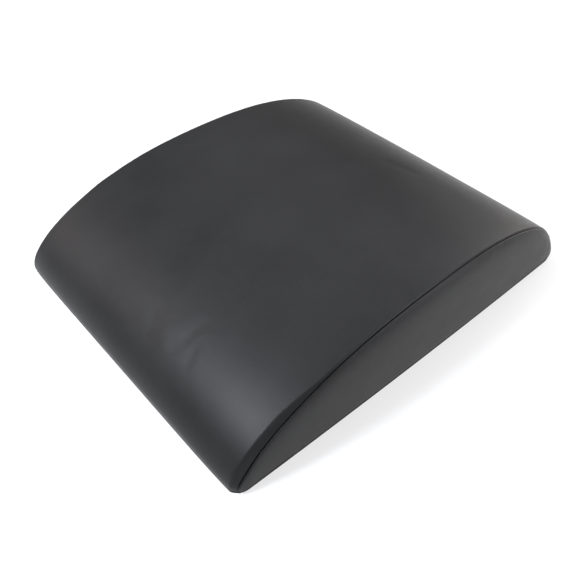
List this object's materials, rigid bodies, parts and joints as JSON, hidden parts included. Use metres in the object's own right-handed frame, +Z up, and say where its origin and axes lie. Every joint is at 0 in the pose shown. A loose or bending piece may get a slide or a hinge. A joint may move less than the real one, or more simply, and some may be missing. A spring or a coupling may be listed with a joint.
{
  "type": "ab mat",
  "caption": "Curved wedge-shaped abdominal mat: a foam core in a sewn black leatherette cover with a flat base and a zip across its tall end.",
  "frame": {"origin": "on the floor, under the middle of the whole mat", "axes": "+Z up; +X from the thin front edge to the tall end with the zip; +Y to the left of someone who looks along +X"},
  "size_m": [0.3812, 0.3032, 0.0759],
  "materials": {
    "leatherette": "satin",
    "base_leatherette": "matte",
    "foam": "matte",
    "thread": "matte",
    "zip_tape": "matte",
    "zip_coil": "satin",
    "zip_metal": "satin"
  },
  "bodies": {
    "cover": {"foam_core": "foam", "top_panel": "leatherette", "side_panel_left": "leatherette", "side_panel_right": "leatherette", "base_panel": "base_leatherette", "seam_thread_left": "thread", "seam_thread_right": "thread", "base_thread_left": "thread", "base_thread_right": "thread", "base_thread_front": "thread", "zip_tape_upper": "zip_tape", "zip_tape_lower": "zip_tape", "zip_topstitch_upper": "thread", "zip_topstitch_lower": "thread", "zip_coil_upper": "zip_coil", "zip_coil_lower": "zip_coil", "zip_top_stop_upper": "zip_metal", "zip_top_stop_lower": "zip_metal", "zip_bottom_stop": "zip_metal"},
    "slider": {"zip_slider": "zip_metal"},
    "pull": {"zip_pull": "zip_metal"}
  },
  "joints": [
    {"name": "zip_slide", "type": "slide", "parent": "cover", "child": "slider", "axis": [0, -1, 0], "range_m": [0, 0.2415]},
    {"name": "pull_flip", "type": "hinge", "parent": "slider", "child": "pull", "pos_m": [0.18817, 0.1209, 0.01439], "axis": [-0.4547, 0, 0.8906], "range_deg": [0, 175]}
  ]
}
